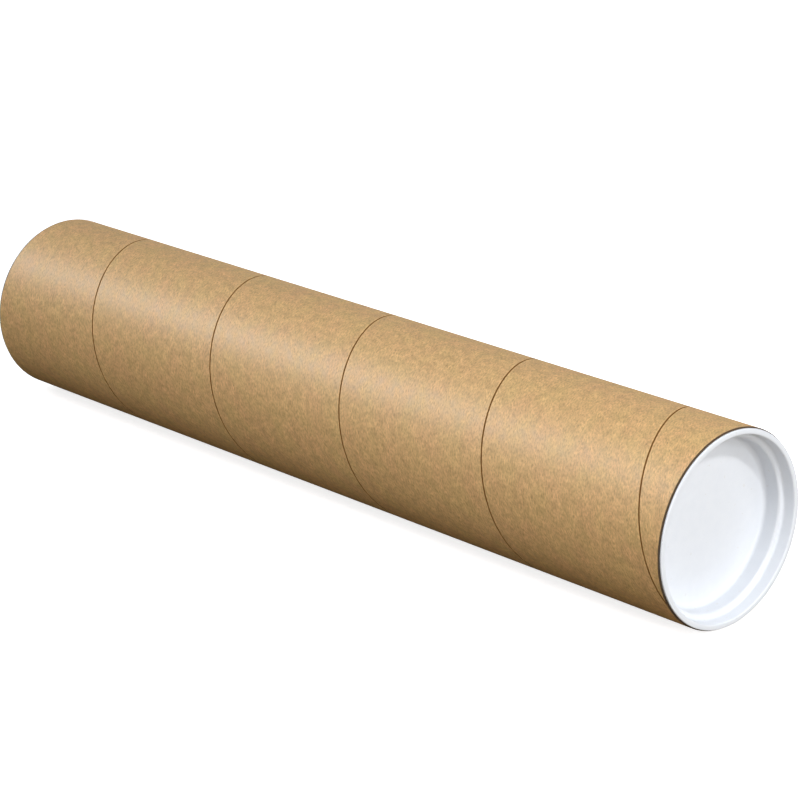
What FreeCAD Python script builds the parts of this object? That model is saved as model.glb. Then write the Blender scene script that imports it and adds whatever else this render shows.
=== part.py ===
import FreeCAD, Part
import math
import os

# A spiral-wound paperboard drawing tube, closed at both ends by moulded plug caps.
# Millimetres. The tube lies along X with +Z up. The origin is on the surface that the
# tube lies on, under the middle of its length.

# Tube
bore_radius = 50.80
tube_length = 546.0
winding_pitch = 109.8
seam_gap = 0.45
# From the tube's +X end to where the outer wrap's seam first crosses the top line
top_seam_inset = 37.5

# The wound plies, from the bore outwards: name, thickness, and how far the ply's seam
# is staggered from the outer wrap's seam, as a share of the pitch
plies = [
    ("inner_liner", 0.28, 0.15),
    ("inner_core_ply", 0.39, 0.60),
    ("middle_core_ply", 0.39, 0.35),
    ("outer_core_ply", 0.39, 0.80),
    ("outer_wrap", 0.50, 0.00),
]
glue_line = 0.02

# Plug cap. An inset is measured inwards from the cap's outer face.
lip_radius = 52.25
lip_thickness = 1.25
lip_edge_radius = 0.5
lip_to_tube_gap = 0.35
mouth_radius = 49.1
mouth_fillet = 0.9
wall_thickness = 1.15
ledge_inset = 7.2
ledge_radius = 45.6
ledge_fillet = 1.4
recess_draft = 1.2
floor_inset = 17.0
floor_thickness = 1.5
floor_fillet = 2.4
nose_edge_radius = 2.0

# Lengthwise ribs on the cap that grip the bore
rib_count = 16
rib_width = 1.8
rib_length = 6.4
rib_clearance = 0.05
rib_lead_in = 1.6

# Each turn of a ply is drawn in this many patches
patches_per_turn = 3

# Derived sizes
patch_angle = 2 * math.pi / patches_per_turn
wall = sum(thickness for _, thickness, _ in plies) + glue_line * (len(plies) - 1)
tube_radius = bore_radius + wall
end_x = tube_length / 2
ORIGIN = FreeCAD.Vector(0, 0, 0)
Y_AXIS = FreeCAD.Vector(0, 1, 0)
Z_AXIS = FreeCAD.Vector(0, 0, 1)


def lay_down(shape):
    """Lay a shape that was built round +Z along +X, at the height of the tube's axis."""
    placed = shape.copy()
    placed.rotate(ORIGIN, Y_AXIS, 90)
    placed.translate(FreeCAD.Vector(0, 0, tube_radius))
    return placed


def clip(corners, limit, sign):
    """Cut an (angle, height) polygon at one height; sign 1 keeps what is above, -1 what is below."""
    kept = []
    for index, (angle, height) in enumerate(corners):
        next_angle, next_height = corners[(index + 1) % len(corners)]
        here = sign * (height - limit)
        ahead = sign * (next_height - limit)
        if here >= 0:
            kept.append((angle, height))
        if here * ahead < 0:
            share = here / (here - ahead)
            kept.append((angle + share * (next_angle - angle), limit))
    return kept


def strip_patches(seam_height):
    """The strip unrolled: (angle, height) polygons, patches_per_turn of them to each turn."""
    rise = winding_pitch / patches_per_turn
    width = winding_pitch - seam_gap
    # The strip's first edge passes half a turn, which lay_down turns to the top, at seam_height
    first = (seam_height + seam_gap / 2 - winding_pitch / 2) % winding_pitch - 2 * winding_pitch
    patches = []
    for index in range(patches_per_turn * (math.ceil(tube_length / winding_pitch) + 3)):
        start = (index % patches_per_turn) * patch_angle
        low = first + index * rise
        corners = [
            (start, low),
            (start + patch_angle, low + rise),
            (start + patch_angle, low + rise + width),
            (start, low + width),
        ]
        corners = clip(clip(corners, 0, 1), tube_length, -1)
        if len(corners) > 2:
            patches.append(corners)
    return patches


def edge_on(cylinder, start, end):
    """Edge on a cylinder between two (angle, height) points: a line, an arc or a helix."""
    segment = Part.Geom2d.Line2dSegment(FreeCAD.Base.Vector2d(*start), FreeCAD.Base.Vector2d(*end))
    return segment.toShape(cylinder)


def round_wall(cylinder, corners):
    """The part of a cylinder inside an (angle, height) polygon."""
    ends = corners[1:] + corners[:1]
    edges = [edge_on(cylinder, start, end) for start, end in zip(corners, ends)]
    return Part.Face(cylinder, Part.Wire(edges))


def cut_walls(inner, outer, corners):
    """The strip's cut edges along an (angle, height) polygon, from one cylinder to the other."""
    walls = []
    for start, end in zip(corners, corners[1:] + corners[:1]):
        if start[0] != end[0]:
            walls.append(Part.makeRuledSurface(edge_on(inner, start, end), edge_on(outer, start, end)))
    return walls


def ply(inner_radius, thickness, seam_height):
    """One strip of board wound into a tube, its edges a seam_gap apart, its ends cut square."""
    inner = Part.Cylinder()
    inner.Radius = inner_radius
    outer = Part.Cylinder()
    outer.Radius = inner_radius + thickness
    faces = []
    for corners in strip_patches(seam_height):
        faces.append(round_wall(inner, corners))
        faces.append(round_wall(outer, corners))
        faces.extend(cut_walls(inner, outer, corners))
    skin = Part.makeCompound(faces)
    skin.sewShape()
    strip = Part.makeSolid(skin.Shells[0])
    if strip.Volume < 0:
        strip.reverse()
    strip.translate(FreeCAD.Vector(0, 0, -end_x))
    return lay_down(strip)


def wound_tube():
    """The plies by name; their seams are staggered so that no two lie on each other."""
    wound = {}
    inner = bore_radius
    for name, thickness, stagger in plies:
        seam_height = tube_length - top_seam_inset - stagger * winding_pitch
        wound[name] = ply(inner, thickness, seam_height)
        inner += thickness + glue_line
    return wound


def rounded_face(corners):
    """Face in the XZ plane from corners of (radius, height, rounding), in order."""
    points = [FreeCAD.Vector(radius, 0, height) for radius, height, _ in corners]
    edges = []
    ends = []
    for index, (_, _, rounding) in enumerate(corners):
        here = points[index]
        back = (points[index - 1] - here).normalize()
        ahead = (points[(index + 1) % len(points)] - here).normalize()
        if rounding == 0:
            ends.append((here, here))
            continue
        half_turn = back.getAngle(ahead) / 2
        reach = rounding / math.tan(half_turn)
        centre = here + (back + ahead).normalize() * (rounding / math.sin(half_turn))
        middle = centre + (here - centre).normalize() * rounding
        first, last = here + back * reach, here + ahead * reach
        ends.append((first, last))
        edges.append(Part.Arc(first, middle, last).toShape())
    for index, (_, leave) in enumerate(ends):
        arrive = ends[(index + 1) % len(ends)][0]
        edges.append(Part.LineSegment(leave, arrive).toShape())
    return Part.Face(Part.Wire(Part.__sortEdges__(edges)))


def cap_shell():
    """The cap's moulding, turned round Z with its outer face at z 0 and its nose down."""
    draft = math.tan(math.radians(recess_draft))
    land_radius = mouth_radius + wall_thickness
    ledge_outer = mouth_radius - draft * ledge_inset
    floor_radius = ledge_radius - draft * (floor_inset - ledge_inset)
    underside = ledge_inset + wall_thickness
    nose = floor_inset + floor_thickness
    corners = [
        (0, -floor_inset, 0),
        (floor_radius, -floor_inset, floor_fillet),
        (ledge_radius, -ledge_inset, ledge_fillet),
        (ledge_outer, -ledge_inset, ledge_fillet),
        (mouth_radius, 0, mouth_fillet),
        (lip_radius, 0, lip_edge_radius),
        (lip_radius, -lip_thickness, lip_edge_radius),
        (land_radius, -lip_thickness, 0),
        (land_radius - draft * underside, -underside, ledge_fillet),
        (ledge_radius + wall_thickness, -underside, ledge_fillet),
        (floor_radius + wall_thickness, -nose, nose_edge_radius),
        (0, -nose, 0),
    ]
    return rounded_face(corners).revolve(ORIGIN, Z_AXIS, 360)


def grip_rib():
    """One rib on the +X side of the cap, tapered at the end that enters the bore first."""
    root = mouth_radius + wall_thickness / 2
    crest = bore_radius - rib_clearance
    top = -lip_thickness - lip_to_tube_gap
    foot = top - rib_length
    outline = [
        FreeCAD.Vector(root, -rib_width / 2, top),
        FreeCAD.Vector(crest, -rib_width / 2, top),
        FreeCAD.Vector(crest, -rib_width / 2, foot + rib_lead_in),
        FreeCAD.Vector(root, -rib_width / 2, foot),
    ]
    face = Part.Face(Part.makePolygon(outline + outline[:1]))
    return face.extrude(FreeCAD.Vector(0, rib_width, 0))


def plug_cap():
    """A whole cap: the shell with its grip ribs, one moulding."""
    ribs = []
    for index in range(rib_count):
        rib = grip_rib()
        rib.rotate(ORIGIN, Z_AXIS, index * 360 / rib_count)
        ribs.append(rib)
    return cap_shell().fuse(ribs).removeSplitter()


def fitted_caps():
    """The same cap pushed into both ends of the tube."""
    outward = end_x + lip_to_tube_gap + lip_thickness
    front = plug_cap()
    front.translate(FreeCAD.Vector(0, 0, outward))
    front = lay_down(front)
    back = front.copy()
    back.rotate(ORIGIN, Z_AXIS, 180)
    return {"front_plug_cap": front, "back_plug_cap": back}


def main():
    os.makedirs("parts", exist_ok=True)
    shapes = wound_tube()
    shapes.update(fitted_caps())
    for name, shape in shapes.items():
        solids = len(shape.Solids)
        print(f"{name}: valid {shape.isValid()}, solids {solids}, {shape.Volume:.0f} mm3")
        shape.exportStep("parts/" + name + ".step")


main()
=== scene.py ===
import math

import bmesh
import bpy
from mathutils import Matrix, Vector


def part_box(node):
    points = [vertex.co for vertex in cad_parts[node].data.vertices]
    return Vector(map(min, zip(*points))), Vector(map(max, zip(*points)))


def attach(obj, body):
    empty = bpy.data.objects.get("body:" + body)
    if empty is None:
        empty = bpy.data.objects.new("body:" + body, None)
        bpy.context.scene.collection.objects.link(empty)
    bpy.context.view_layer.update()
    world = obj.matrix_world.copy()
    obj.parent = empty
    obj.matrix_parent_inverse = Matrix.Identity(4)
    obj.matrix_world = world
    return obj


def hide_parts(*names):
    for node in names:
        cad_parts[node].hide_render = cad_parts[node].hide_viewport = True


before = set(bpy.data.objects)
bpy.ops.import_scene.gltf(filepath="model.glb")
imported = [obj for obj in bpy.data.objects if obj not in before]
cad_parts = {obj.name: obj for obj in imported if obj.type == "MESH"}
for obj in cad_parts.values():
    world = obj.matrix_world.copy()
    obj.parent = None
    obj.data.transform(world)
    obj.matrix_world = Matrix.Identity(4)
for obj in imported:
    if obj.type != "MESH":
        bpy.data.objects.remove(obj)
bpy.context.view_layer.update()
print("frame loaded:", sorted(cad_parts))

# The tube lies along X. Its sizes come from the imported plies, in metres.
mm = 0.001
wrapLow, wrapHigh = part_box("outer_wrap")
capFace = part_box("front_plug_cap")[1].x
tubeEnd = wrapHigh.x
tubeRadius = (wrapHigh.y - wrapLow.y) / 2
axisHeight = (wrapHigh.z + wrapLow.z) / 2
axisPoint = Vector((0, 0, axisHeight))


def deselectAll():
    if bpy.context.object and bpy.context.object.mode != "OBJECT":
        bpy.ops.object.mode_set(mode="OBJECT")
    bpy.ops.object.select_all(action="DESELECT")


def makeActive(piece):
    deselectAll()
    piece.select_set(True)
    bpy.context.view_layer.objects.active = piece


def editMesh(piece, mode="VERT"):
    makeActive(piece)
    bpy.ops.object.mode_set(mode="EDIT")
    bpy.ops.mesh.select_mode(type=mode)


def endEdit():
    bpy.ops.object.mode_set(mode="OBJECT")


def settle(piece):
    # the piece's place goes into its mesh, so that its object stands at the origin
    makeActive(piece)
    bpy.ops.object.transform_apply(location=True, rotation=True, scale=True)


def selectWhere(piece, kind, wanted):
    # kind is verts, edges or faces
    mesh = bmesh.from_edit_mesh(piece.data)
    for item in getattr(mesh, kind):
        item.select = wanted(item)
    mesh.select_flush_mode()
    bmesh.update_edit_mesh(piece.data)


def radiusOf(point):
    return math.hypot(point.y, point.z - axisHeight)


def smoothShade(piece, angle):
    makeActive(piece)
    bpy.ops.object.shade_smooth_by_angle(angle=math.radians(angle))


class Nodes:
    # lays out and links the nodes of one tree

    def __init__(self, tree):
        self.tree = tree
        self.count = 0

    def add(self, kind, inputs=None, **settings):
        node = self.tree.nodes.new(kind)
        node.location = (220 * (self.count // 4), -260 * (self.count % 4))
        self.count += 1
        for name, value in settings.items():
            setattr(node, name, value)
        for name, value in (inputs or {}).items():
            self.feed(node.inputs[name], value)
        return node

    def feed(self, socket, value):
        if isinstance(value, bpy.types.NodeSocket):
            self.tree.links.new(value, socket)
        else:
            socket.default_value = value

    def math(self, operation, first, second=0.0, third=0.0, clamp=False):
        node = self.add("ShaderNodeMath", {0: first, 1: second, 2: third}, operation=operation)
        node.use_clamp = clamp
        return node.outputs[0]

    def mapRange(self, value, fromLow, fromHigh, toLow=0.0, toHigh=1.0, smooth=False):
        kind = "SMOOTHSTEP" if smooth else "LINEAR"
        node = self.add("ShaderNodeMapRange", {"Value": value}, interpolation_type=kind)
        self.feed(node.inputs["From Min"], fromLow)
        self.feed(node.inputs["From Max"], fromHigh)
        self.feed(node.inputs["To Min"], toLow)
        self.feed(node.inputs["To Max"], toHigh)
        return node.outputs["Result"]

    def mixColour(self, factor, first, second, blend="MIX"):
        node = self.add("ShaderNodeMix", data_type="RGBA", blend_type=blend)
        self.feed(node.inputs[0], factor)
        self.feed(node.inputs[6], first)
        self.feed(node.inputs[7], second)
        return node.outputs[2]

    def noise(self, vector, scale, detail=2.0, roughness=0.5):
        inputs = {"Vector": vector, "Scale": scale, "Detail": detail, "Roughness": roughness}
        return self.add("ShaderNodeTexNoise", inputs).outputs["Fac"]


def newGroup(name, inputs, outputs):
    group = bpy.data.node_groups.new(name, "ShaderNodeTree")
    for label, value in inputs:
        socket = group.interface.new_socket(label, in_out="INPUT", socket_type="NodeSocketFloat")
        socket.default_value = value
    for label in outputs:
        group.interface.new_socket(label, in_out="OUTPUT", socket_type="NodeSocketFloat")
    nodes = Nodes(group)
    entry = nodes.add("NodeGroupInput")
    leave = nodes.add("NodeGroupOutput")
    return group, nodes, entry.outputs, leave.inputs


def newMaterial(name):
    material = bpy.data.materials.new(name)
    material.use_nodes = True
    nodes = Nodes(material.node_tree)
    shader = material.node_tree.nodes["Principled BSDF"]
    shader.location = (1800, 0)
    material.node_tree.nodes["Material Output"].location = (2100, 0)
    return material, nodes, shader


winding = {
    "pitch": 109.8 * mm,
    "gap": 0.45 * mm,
    "firstSeam": tubeEnd - 37.5 * mm,  # where the outer wrap's seam crosses the top line
    "boreRadius": 50.80 * mm,
    "glueLine": 0.02 * mm,
    "stepsPerTurn": 192,
    "edgeBevel": 0.04 * mm,
    "spareTurns": 2,
    "cutSlack": 0.001 * mm,
    "merge": 0.0005 * mm,
    "smoothAngle": 20,
}

paperGrain = {
    "blotchSize": 16 * mm,
    "blotchRange": (0.32, 0.68),
    "mottlesPerBlotch": 3.1,
    "mottleRange": (0.30, 0.70),
    "fibreSize": 1.0 * mm,
    "fibreStretch": (0.55, 1, 1),  # fibres are longer along the strip than across it
    "fibreTurns": (0.3, -0.9),  # turns of the two layers of fibre, so that they differ
    "weaveRange": (0.34, 0.66),
    "flecksPerFibre": 0.55,
    "fleckRange": (0.74, 0.82),
    "seamWidth": 0.4 * mm,  # from the middle of a seam, how far the paper is fully dark
    "seamReach": 1.9,  # in seam widths, how far out that dark has faded
    "seamEdgeReach": 2.2,  # in seam reaches, how far the paler edge beside it goes
    "cutReach": (0.15 * mm, 0.55 * mm),  # from the tube's end, where its dark is full and gone
    "mottleHeight": 0.35,
    "weaveHeight": 0.65,
    "bumpDistance": 0.08 * mm,
    "rawRoughness": 0.4,  # added where the board is cut
}


def buildWoundPaper():
    # Paper wound in a helix: its fibres follow the strip, and its pattern breaks at each seam
    grain = paperGrain
    inputs = [
        ("Radius", tubeRadius),
        ("Pitch", winding["pitch"]),
        ("Seam Place", 0.0),
        ("Blotch Size", grain["blotchSize"]),
        ("Fibre Size", grain["fibreSize"]),
        ("Seam Width", grain["seamWidth"]),
    ]
    outputs = ["Blotch", "Mottle", "Weave", "Fleck", "Seam", "Seam Edge", "Cut", "Height"]
    group, nodes, entry, leave = newGroup("woundPaper", inputs, outputs)
    place = nodes.add("ShaderNodeSeparateXYZ", {0: nodes.add("ShaderNodeTexCoord").outputs["Object"]})
    rise = nodes.math("SUBTRACT", place.outputs["Z"], axisHeight)
    side = nodes.math("MULTIPLY", place.outputs["Y"], -1.0)
    turn = nodes.math("ARCTAN2", side, rise)
    along = nodes.math("SUBTRACT", place.outputs["X"], entry["Seam Place"])
    laps = nodes.math("DIVIDE", along, entry["Pitch"])
    laps = nodes.math("SUBTRACT", laps, nodes.math("DIVIDE", turn, 2 * math.pi))
    lap = nodes.math("FLOOR", laps)
    across = nodes.math("FRACT", laps)
    wholeTurn = nodes.math("MULTIPLY_ADD", lap, 2 * math.pi, turn)
    length = nodes.math("MULTIPLY", wholeTurn, entry["Radius"])
    width = nodes.math("MULTIPLY", across, entry["Pitch"])
    strip = nodes.add("ShaderNodeCombineXYZ", {0: length, 1: width, 2: 0.0}).outputs[0]

    perBlotch = nodes.math("DIVIDE", 1.0, entry["Blotch Size"])
    perFibre = nodes.math("DIVIDE", 1.0, entry["Fibre Size"])
    blotch = nodes.noise(strip, perBlotch, 1.5, 0.5)
    mottle = nodes.noise(strip, nodes.math("MULTIPLY", perBlotch, grain["mottlesPerBlotch"]), 2.0, 0.55)
    fibres = []
    for turned in grain["fibreTurns"]:
        mapping = nodes.add("ShaderNodeMapping", {"Vector": strip, "Rotation": (0, 0, turned)})
        mapping.inputs["Scale"].default_value = grain["fibreStretch"]
        fibres.append(nodes.noise(mapping.outputs[0], perFibre, 2.0, 0.6))
    weave = nodes.math("MULTIPLY", nodes.math("ADD", fibres[0], fibres[1]), 0.5)
    fleck = nodes.noise(strip, nodes.math("MULTIPLY", perFibre, grain["flecksPerFibre"]), 0.0, 0.4)

    edge = nodes.math("SUBTRACT", 0.5, nodes.math("ABSOLUTE", nodes.math("SUBTRACT", across, 0.5)))
    edgeDistance = nodes.math("MULTIPLY", edge, entry["Pitch"])
    wander = nodes.math("MULTIPLY", nodes.math("SUBTRACT", mottle, 0.5), entry["Seam Width"])
    ragged = nodes.math("ADD", edgeDistance, wander)
    seamReach = nodes.math("MULTIPLY", entry["Seam Width"], grain["seamReach"])
    seam = nodes.mapRange(ragged, entry["Seam Width"], seamReach, 1.0, 0.0, True)
    edgeReach = nodes.math("MULTIPLY", seamReach, grain["seamEdgeReach"])
    seamEdge = nodes.mapRange(ragged, seamReach, edgeReach, 1.0, 0.0, True)
    toEnd = nodes.math("SUBTRACT", tubeEnd, nodes.math("ABSOLUTE", place.outputs["X"]))
    cutFull, cutGone = grain["cutReach"]
    cut = nodes.mapRange(nodes.math("ADD", toEnd, wander), cutFull, cutGone, 1.0, 0.0, True)

    weaveHeight = nodes.math("MULTIPLY", weave, grain["weaveHeight"])
    height = nodes.math("MULTIPLY_ADD", mottle, grain["mottleHeight"], weaveHeight)
    nodes.feed(leave["Blotch"], nodes.mapRange(blotch, *grain["blotchRange"]))
    nodes.feed(leave["Mottle"], nodes.mapRange(mottle, *grain["mottleRange"]))
    nodes.feed(leave["Weave"], nodes.mapRange(weave, *grain["weaveRange"]))
    nodes.feed(leave["Fleck"], nodes.mapRange(fleck, *grain["fleckRange"]))
    nodes.feed(leave["Seam"], seam)
    nodes.feed(leave["Seam Edge"], seamEdge)
    nodes.feed(leave["Cut"], cut)
    nodes.feed(leave["Height"], height)
    return group


scuffs = {
    "grainSize": 0.9 * mm,
    "rubSize": 6.0 * mm,
    "rubRange": (0.35, 0.65),
    "speckRange": (0.78, 0.82),
}


def buildScuffs():
    # Fine dust and rub marks on moulded plastic
    inputs = [("Grain Size", scuffs["grainSize"]), ("Rub Size", scuffs["rubSize"])]
    group, nodes, entry, leave = newGroup("mouldedScuffs", inputs, ["Grain", "Rub", "Speck"])
    place = nodes.add("ShaderNodeTexCoord").outputs["Object"]
    grain = nodes.noise(place, nodes.math("DIVIDE", 1.0, entry["Grain Size"]), 2.0, 0.5)
    rub = nodes.noise(place, nodes.math("DIVIDE", 1.0, entry["Rub Size"]), 4.0, 0.6)
    speck = nodes.noise(place, nodes.math("DIVIDE", 2.0, entry["Rub Size"]), 0.0, 0.5)
    nodes.feed(leave["Grain"], grain)
    nodes.feed(leave["Rub"], nodes.mapRange(rub, *scuffs["rubRange"]))
    nodes.feed(leave["Speck"], nodes.mapRange(speck, *scuffs["speckRange"]))
    return group


woundPaper = buildWoundPaper()
mouldedScuffs = buildScuffs()
print("shared effects built")


wrapPaper = {
    "slot": "kraft_paper",
    "toneWarm": (0.700, 0.428, 0.196, 1),
    "toneYellow": (0.672, 0.442, 0.188, 1),
    "fleckDark": (0.300, 0.180, 0.080, 1),
    "dimpleBrown": (0.430, 0.230, 0.075, 1),
    "dimpleDepth": 0.30,
    "seamDarkAndPaintedShade": (0.260, 0.120, 0.022, 1),
    "cutEdgeAndPaintedShade": (0.070, 0.042, 0.022, 1),
    "weaveDepth": 0.22,
    "mottleDepth": 0.14,
    "fleckDepth": 0.35,
    "seamEdgeHighlight": 0.10,
    "roughness": (0.46, 0.56),
    "bump": 0.25,
    "specular": 0.5,
}

corePaper = {
    "slot": "core_board",
    "toneWarm": (0.360, 0.215, 0.100, 1),
    "toneYellow": (0.320, 0.200, 0.092, 1),
    "fleckDark": (0.120, 0.080, 0.045, 1),
    "dimpleBrown": (0.190, 0.110, 0.050, 1),
    "dimpleDepth": 0.40,
    "seamDarkAndPaintedShade": (0.120, 0.070, 0.030, 1),
    "cutEdgeAndPaintedShade": (0.150, 0.105, 0.065, 1),
    "weaveDepth": 0.40,
    "mottleDepth": 0.22,
    "fleckDepth": 0.60,
    "seamEdgeHighlight": 0.0,
    "roughness": (0.75, 0.90),
    "bump": 0.5,
    "specular": 0.25,
}

linerPaper = {
    "slot": "liner_paper",
    "toneWarm": (0.560, 0.370, 0.195, 1),
    "toneYellow": (0.510, 0.355, 0.165, 1),
    "fleckDark": (0.260, 0.160, 0.080, 1),
    "dimpleBrown": (0.360, 0.200, 0.080, 1),
    "dimpleDepth": 0.30,
    "seamDarkAndPaintedShade": (0.160, 0.090, 0.040, 1),
    "cutEdgeAndPaintedShade": (0.180, 0.120, 0.070, 1),
    "weaveDepth": 0.26,
    "mottleDepth": 0.12,
    "fleckDepth": 0.40,
    "seamEdgeHighlight": 0.06,
    "roughness": (0.55, 0.70),
    "bump": 0.3,
    "specular": 0.35,
}


def buildPaper(name, look, ply):
    material, nodes, shader = newMaterial(name)
    paper = nodes.add("ShaderNodeGroup", node_tree=woundPaper)
    nodes.feed(paper.inputs["Radius"], ply["radius"])
    nodes.feed(paper.inputs["Pitch"], winding["pitch"])
    nodes.feed(paper.inputs["Seam Place"], ply["seamPlace"])
    tone = nodes.mixColour(paper.outputs["Blotch"], look["toneYellow"], look["toneWarm"])
    weaveDepth, mottleDepth = look["weaveDepth"], look["mottleDepth"]
    shade = nodes.mapRange(paper.outputs["Weave"], 0, 1, 1 - weaveDepth, 1 + weaveDepth)
    patchy = nodes.mapRange(paper.outputs["Mottle"], 0, 1, 1 - mottleDepth, 1 + mottleDepth)
    shade = nodes.math("MULTIPLY", shade, patchy)
    # a painted highlight brightens the paper beside each seam, where the raised strip edge would catch
    # the light
    seamHighlight = nodes.math("MULTIPLY_ADD", paper.outputs["Seam Edge"], look["seamEdgeHighlight"], 1.0)
    tone = nodes.mixColour(1.0, tone, nodes.math("MULTIPLY", shade, seamHighlight), "MULTIPLY")
    # only the lower half of the weave is a dimple
    dimple = nodes.mapRange(paper.outputs["Weave"], 0.0, 0.5, look["dimpleDepth"], 0.0)
    tone = nodes.mixColour(dimple, tone, look["dimpleBrown"])
    fleckShade = nodes.math("MULTIPLY", paper.outputs["Fleck"], look["fleckDepth"])
    tone = nodes.mixColour(fleckShade, tone, look["fleckDark"])
    # the seam's dark is partly the cut strip edge and glue, and partly painted shade in the gap between
    # strips
    tone = nodes.mixColour(paper.outputs["Seam"], tone, look["seamDarkAndPaintedShade"])
    # the dark at the tube's cut ends is partly the saw-darkened board edge and partly painted shade in
    # the gap under the cap's lip
    tone = nodes.mixColour(paper.outputs["Cut"], tone, look["cutEdgeAndPaintedShade"])
    nodes.feed(shader.inputs["Base Color"], tone)
    smooth, rough = look["roughness"]
    sheen = nodes.mapRange(paper.outputs["Mottle"], 0, 1, smooth, rough)
    # the raw edge at a seam or cut end has no sheen
    raw = nodes.math("MAXIMUM", paper.outputs["Seam"], paper.outputs["Cut"])
    matt = nodes.math("MULTIPLY", raw, paperGrain["rawRoughness"])
    nodes.feed(shader.inputs["Roughness"], nodes.math("ADD", sheen, matt, clamp=True))
    bump = nodes.add("ShaderNodeBump", {"Height": paper.outputs["Height"], "Strength": look["bump"]})
    bump.inputs["Distance"].default_value = paperGrain["bumpDistance"]
    nodes.feed(shader.inputs["Normal"], bump.outputs[0])
    shader.inputs["Specular IOR Level"].default_value = look["specular"]
    return material


# from the bore outwards; a stagger is a seam's shift from the outer wrap's, as a share of the pitch
plies = [
    {"node": "inner_liner", "name": "innerLiner", "stagger": 0.15, "look": linerPaper},
    {"node": "inner_core_ply", "name": "innerCorePly", "stagger": 0.60, "look": corePaper},
    {"node": "middle_core_ply", "name": "middleCorePly", "stagger": 0.35, "look": corePaper},
    {"node": "outer_core_ply", "name": "outerCorePly", "stagger": 0.80, "look": corePaper},
    {"node": "outer_wrap", "name": "outerWrap", "stagger": 0.00, "look": wrapPaper},
]


def plyRadii():
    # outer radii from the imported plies; each ply's inside is a glue line off the one within
    inner = winding["boreRadius"]
    for ply in plies:
        low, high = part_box(ply["node"])
        ply["inner"] = inner
        ply["radius"] = (high.y - low.y) / 2
        ply["seamPlace"] = winding["firstSeam"] - ply["stagger"] * winding["pitch"]
        inner = ply["radius"] + winding["glueLine"]


def windStrip(ply):
    pitch, gap = winding["pitch"], winding["gap"]
    turns = math.ceil(2 * tubeEnd / pitch) + winding["spareTurns"]
    start = (ply["seamPlace"] + tubeEnd) % pitch - 2 * pitch - tubeEnd + gap / 2
    width, thickness = pitch - gap, ply["radius"] - ply["inner"]
    deselectAll()
    bpy.ops.mesh.primitive_plane_add(size=1, rotation=(math.pi / 2, 0, 0))
    strip = bpy.context.object
    strip.name = ply["name"]
    # the strip's section stands upright on the tube's top line
    strip.scale = (width, thickness, 1)
    strip.location = (start + width / 2, 0, ply["inner"] + thickness / 2)
    settle(strip)
    editMesh(strip)
    bpy.ops.mesh.select_all(action="SELECT")
    bpy.ops.mesh.bevel(offset=winding["edgeBevel"], segments=2, affect="VERTICES")
    bpy.ops.mesh.select_all(action="SELECT")
    bpy.ops.mesh.delete(type="ONLY_FACE")
    endEdit()
    # the winding turns round the object's own X axis, which is then lifted to the tube's axis
    screw = strip.modifiers.new("winding", "SCREW")
    screw.axis = "X"
    screw.screw_offset = pitch
    screw.iterations = turns
    screw.steps = screw.render_steps = winding["stepsPerTurn"]
    screw.use_normal_calculate = True
    makeActive(strip)
    bpy.ops.object.modifier_apply(modifier=screw.name)
    strip.location = axisPoint
    settle(strip)
    for side in (-1, 1):
        editMesh(strip)
        bpy.ops.mesh.select_all(action="SELECT")
        bpy.ops.mesh.bisect(
            plane_co=(side * tubeEnd, 0, axisHeight),
            plane_no=(side, 0, 0),
            clear_outer=True,
            use_fill=True,
            threshold=winding["cutSlack"],
        )
        endEdit()
    editMesh(strip)
    bpy.ops.mesh.select_all(action="SELECT")
    bpy.ops.mesh.remove_doubles(threshold=winding["merge"])
    bpy.ops.mesh.normals_make_consistent(inside=False)
    endEdit()
    smoothShade(strip, winding["smoothAngle"])
    strip.data.materials.clear()
    strip.data.materials.append(buildPaper(ply["name"] + "Paper", ply["look"], ply))
    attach(strip, "tube")
    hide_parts(ply["node"])
    print("wound", strip.name, len(strip.data.vertices), "verts")


plyRadii()
for ply in plies:
    windStrip(ply)


plugCap = {
    "sides": 192,
    "lipRadius": 52.25 * mm,
    "lipThickness": 1.25 * mm,
    "lipEdge": 0.5 * mm,
    "mouthRadius": 49.1 * mm,
    "mouthFillet": 0.9 * mm,
    "wall": 1.15 * mm,
    "ledgeInset": 7.2 * mm,
    "ledgeRadius": 45.6 * mm,
    "ledgeFillet": 1.4 * mm,
    "draft": math.tan(math.radians(1.2)),
    "floorInset": 17.0 * mm,
    "floorThickness": 1.5 * mm,
    "floorFillet": 2.4 * mm,
    "noseEdge": 2.0 * mm,
    "ribs": 16,
    "ribTop": 1.6 * mm,
    "ribFoot": 8.0 * mm,
    "ribCrest": 50.75 * mm,
    "ribLeadIn": 1.4 * mm,
    "gateRadius": 2.2 * mm,
    "gateDepth": 0.35 * mm,
    "gateTaper": 0.7,
    "merge": 0.002 * mm,
    "smoothAngle": 32,
}


def extrudeRing(step, fromRadius, toRadius):
    # the selected ring is extruded along X and scaled to its next radius
    bpy.ops.mesh.extrude_region_move(TRANSFORM_OT_translate={"value": (step, 0, 0)})
    scale = toRadius / fromRadius
    bpy.ops.transform.resize(value=(1, scale, scale), center_override=axisPoint)


def bevelRing(piece, place, radius, fillet, segments):
    near = 0.02 * mm

    def onRing(edge):
        return all(abs(v.co.x - place) < near and abs(radiusOf(v.co) - radius) < near for v in edge.verts)

    bpy.ops.mesh.select_mode(type="EDGE")
    selectWhere(piece, "edges", onRing)
    # at a square corner this width gives a round of the fillet's radius
    width = fillet * math.sqrt(2)
    bpy.ops.mesh.bevel(offset=width, offset_type="WIDTH", segments=segments, profile=0.5, affect="EDGES")


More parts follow.
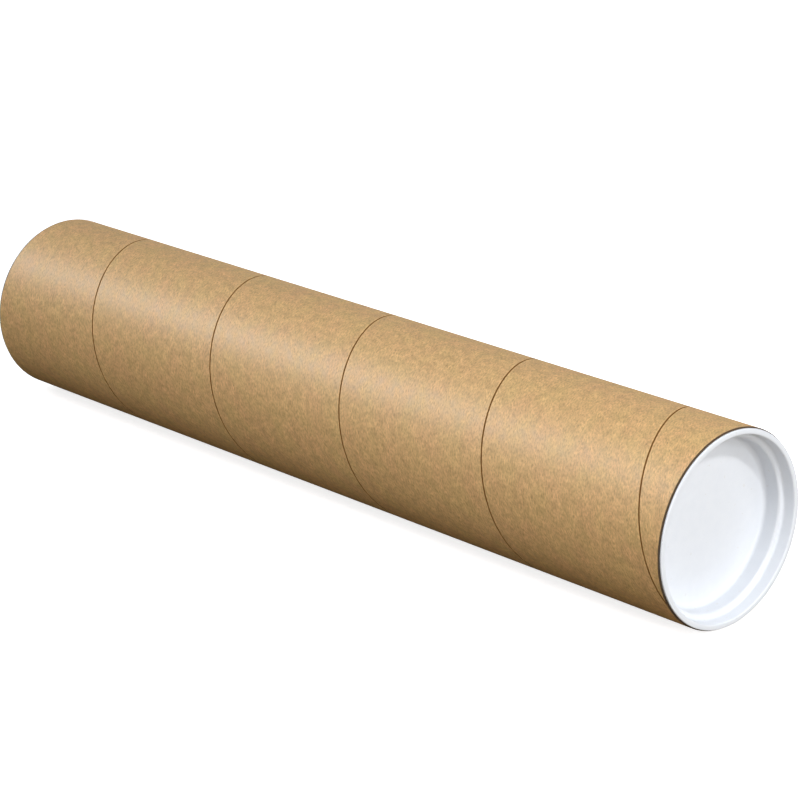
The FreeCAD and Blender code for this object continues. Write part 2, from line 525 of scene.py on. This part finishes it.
def capRings():
    # (inset, radius, fillet, fillet's segments), from the middle of the recess floor
    # out over the lip and back to the middle of the nose
    plug = plugCap
    landRadius = plug["mouthRadius"] + plug["wall"]
    underside = plug["ledgeInset"] + plug["wall"]
    nose = plug["floorInset"] + plug["floorThickness"]
    floorRadius = plug["ledgeRadius"] - plug["draft"] * (plug["floorInset"] - plug["ledgeInset"])
    midFloor = floorRadius / 2
    ledgeOuter = plug["mouthRadius"] - plug["draft"] * plug["ledgeInset"]
    return [
        (plug["floorInset"], plug["gateRadius"], 0, 0),
        (plug["floorInset"], midFloor, 0, 0),
        (plug["floorInset"], floorRadius, plug["floorFillet"], 10),
        (plug["ledgeInset"], plug["ledgeRadius"], plug["ledgeFillet"], 6),
        (plug["ledgeInset"], ledgeOuter, plug["ledgeFillet"], 6),
        (0.0, plug["mouthRadius"], plug["mouthFillet"], 6),
        (0.0, plug["lipRadius"], plug["lipEdge"], 5),
        (plug["lipThickness"], plug["lipRadius"], plug["lipEdge"], 5),
        (plug["lipThickness"], landRadius, 0, 0),
        (plug["ribTop"], landRadius, 0, 0),
        (plug["ribFoot"], landRadius - plug["draft"] * plug["ribFoot"], 0, 0),
        (underside, landRadius - plug["draft"] * underside, plug["ledgeFillet"], 5),
        (underside, plug["ledgeRadius"] + plug["wall"], plug["ledgeFillet"], 5),
        (nose, floorRadius + plug["wall"], plug["noseEdge"], 8),
        (nose, midFloor, 0, 0),
        (nose, plug["gateRadius"], 0, 0),
        (nose - plug["gateDepth"], plug["gateRadius"] * plug["gateTaper"], 0, 0),
    ]


def buildCap():
    rings = capRings()
    firstInset, firstRadius = rings[0][:2]
    deselectAll()
    bpy.ops.mesh.primitive_circle_add(
        vertices=plugCap["sides"],
        radius=firstRadius,
        fill_type="NGON",
        location=(capFace - firstInset, 0, axisHeight),
        rotation=(0, math.pi / 2, 0),
    )
    cap = bpy.context.object
    cap.name = "frontPlugCap"
    settle(cap)
    editMesh(cap, "EDGE")
    selectWhere(cap, "edges", lambda edge: edge.is_boundary)
    for here, ahead in zip(rings, rings[1:]):
        extrudeRing(here[0] - ahead[0], here[1], ahead[1])
    bpy.ops.mesh.edge_face_add()
    for inset, radius, fillet, segments in rings:
        if fillet:
            bevelRing(cap, capFace - inset, radius, fillet, segments)
    raiseRibs(cap)
    bpy.ops.mesh.select_all(action="SELECT")
    bpy.ops.mesh.remove_doubles(threshold=plugCap["merge"])
    bpy.ops.mesh.normals_make_consistent(inside=False)
    endEdit()
    smoothShade(cap, plugCap["smoothAngle"])
    return cap


def raiseRibs(cap):
    # one face in every few round the land is drawn out to the bore and tapered at its foot
    plug = plugCap
    top, foot = capFace - plug["ribTop"], capFace - plug["ribFoot"]
    every = plug["sides"] // plug["ribs"]
    sector = 2 * math.pi / plug["sides"]
    landInside = plug["mouthRadius"] + plug["wall"] / 2
    near = 0.1 * mm

    def onRib(panel):
        middle = panel.calc_center_median()
        onLand = foot - near < middle.x < top + near and radiusOf(middle) >= landInside
        if not onLand or abs(panel.normal.x) > 0.5:
            return False
        angle = math.atan2(middle.y, middle.z - axisHeight) % (2 * math.pi)
        return int(angle / sector) % every == 0

    bpy.ops.mesh.select_mode(type="FACE")
    selectWhere(cap, "faces", onRib)
    proud = plug["ribCrest"] - plug["mouthRadius"] - plug["wall"]
    bpy.ops.mesh.extrude_region_shrink_fatten(TRANSFORM_OT_shrink_fatten={"value": proud})
    bpy.ops.mesh.select_mode(type="VERT")
    crest = plug["ribCrest"] - proud / 2
    selectWhere(cap, "verts", lambda v: radiusOf(v.co) > crest and abs(v.co.x - foot) < 2 * near)
    bpy.ops.transform.translate(value=(plug["ribLeadIn"], 0, 0))


whitePlastic = {
    "slot": "white_plastic",
    "tone": (0.745, 0.774, 0.822, 1),
    "toneRubbed": (0.765, 0.792, 0.836, 1),
    "speckDust": (0.620, 0.600, 0.560, 1),
    "speckDepth": 0.25,
    "roughness": (0.34, 0.44),
    "bump": 0.12,
    "bumpDistance": 0.05 * mm,
    "specular": 0.45,
    "refraction": 1.51,
}


def buildPlastic():
    look = whitePlastic
    material, nodes, shader = newMaterial("whitePlastic")
    marks = nodes.add("ShaderNodeGroup", node_tree=mouldedScuffs)
    tone = nodes.mixColour(marks.outputs["Rub"], look["tone"], look["toneRubbed"])
    speck = nodes.math("MULTIPLY", marks.outputs["Speck"], look["speckDepth"])
    tone = nodes.mixColour(speck, tone, look["speckDust"])
    nodes.feed(shader.inputs["Base Color"], tone)
    smooth, rough = look["roughness"]
    nodes.feed(shader.inputs["Roughness"], nodes.mapRange(marks.outputs["Rub"], 0, 1, smooth, rough))
    bump = nodes.add("ShaderNodeBump", {"Height": marks.outputs["Grain"], "Strength": look["bump"]})
    bump.inputs["Distance"].default_value = look["bumpDistance"]
    nodes.feed(shader.inputs["Normal"], bump.outputs[0])
    shader.inputs["Specular IOR Level"].default_value = look["specular"]
    shader.inputs["IOR"].default_value = look["refraction"]
    return material


frontCap = buildCap()
frontCap.data.materials.clear()
frontCap.data.materials.append(buildPlastic())
makeActive(frontCap)
bpy.ops.object.duplicate(linked=False)
backCap = bpy.context.object
backCap.name = "backPlugCap"
backCap.rotation_euler = (0, 0, math.pi)
settle(backCap)
capPlaces = [(frontCap, "front_cap", "front_plug_cap"), (backCap, "back_cap", "back_plug_cap")]
for cap, body, node in capPlaces:
    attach(cap, body)
    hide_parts(node)
print("caps turned")


studio = {
    "floorSize": 14.0,
    "floorSeen": (0.95, 0.95, 0.95, 1),
    "floorGlow": 0.75,
    "floorRoughness": 0.9,
    "floorBounce": (0.15, 0.11, 0.055, 1),
    "skyColour": (0.90, 0.96, 1.04, 1),
    "skyStrength": 0.245,
}

softLights = [
    {"name": "highFrontLight", "from": (1.52, 0.0, 1.32), "size": 0.16, "power": 9.9},
    {"name": "frontLight", "from": (1.87, -0.1, 1.01), "size": 0.3, "power": 5.5},
    {"name": "lowFrontLight", "from": (2.1, -0.4, 0.45), "size": 0.6, "power": 17.3},
    {"name": "farFrontLight", "from": (1.5, 0.9, 0.7), "size": 0.6, "power": 4.1},
    {"name": "sideLight", "from": (0.2, -1.3, 1.6), "size": 0.9, "power": 11.3},
    {"name": "lowSideLight", "from": (0.3, -1.8, 0.7), "size": 0.9, "power": 6.2},
    {"name": "sheenLight", "from": (-1.8, -1.1, 1.55), "size": 0.8, "power": 36, "diffuse": False},
    {"name": "backLight", "from": (-1.9, 1.7, 0.14), "size": 0.4, "power": 40, "glossy": False},
]

cameraView = {
    "place": (1.13437, -1.03165, 0.56763),
    "azimuth": 46.879,
    "elevation": 18.517,
    "lens": 128.81,
    "sensor": 36,
    "clip": (0.01, 100),
}


def buildFloor():
    deselectAll()
    bpy.ops.mesh.primitive_plane_add(size=studio["floorSize"], location=(0, 0, 0))
    floor = bpy.context.object
    floor.name = "floor"
    material, nodes, shader = newMaterial("paleFloor")
    seen = nodes.add("ShaderNodeLightPath").outputs["Is Camera Ray"]
    # what the camera sees of the floor is bright, and what it bounces on to the tube is dim
    tone = nodes.mixColour(seen, studio["floorBounce"], studio["floorSeen"])
    nodes.feed(shader.inputs["Base Color"], tone)
    nodes.feed(shader.inputs["Emission Color"], (1, 1, 1, 1))
    nodes.feed(shader.inputs["Emission Strength"], nodes.math("MULTIPLY", seen, studio["floorGlow"]))
    shader.inputs["Roughness"].default_value = studio["floorRoughness"]
    shader.inputs["Specular IOR Level"].default_value = 0.0
    floor.data.materials.append(material)


def buildLights():
    world = bpy.data.worlds.new("studioSky")
    bpy.context.scene.world = world
    world.use_nodes = True
    background = world.node_tree.nodes["Background"]
    background.inputs["Color"].default_value = studio["skyColour"]
    background.inputs["Strength"].default_value = studio["skyStrength"]
    for light in softLights:
        lamp = bpy.data.lights.new(light["name"], "AREA")
        lamp.shape = "DISK"
        lamp.size = light["size"]
        lamp.energy = light["power"]
        holder = bpy.data.objects.new(light["name"], lamp)
        holder.location = light["from"]
        # the sheen light shows only as the long soft sheen, and the back light adds none
        holder.visible_diffuse = light.get("diffuse", True)
        holder.visible_glossy = light.get("glossy", True)
        towards = axisPoint - Vector(light["from"])
        holder.rotation_euler = towards.to_track_quat("-Z", "Y").to_euler()
        bpy.context.collection.objects.link(holder)


def buildCamera():
    lens = bpy.data.cameras.new("camera")
    lens.lens = cameraView["lens"]
    lens.sensor_width = cameraView["sensor"]
    lens.clip_start, lens.clip_end = cameraView["clip"]
    camera = bpy.data.objects.new("camera", lens)
    camera.location = cameraView["place"]
    tilt = math.radians(90 - cameraView["elevation"])
    camera.rotation_euler = (tilt, 0, math.radians(cameraView["azimuth"]))
    bpy.context.collection.objects.link(camera)
    bpy.context.scene.camera = camera


buildFloor()
buildLights()
buildCamera()
bpy.context.scene.view_settings.view_transform = "Standard"
print("stage set")
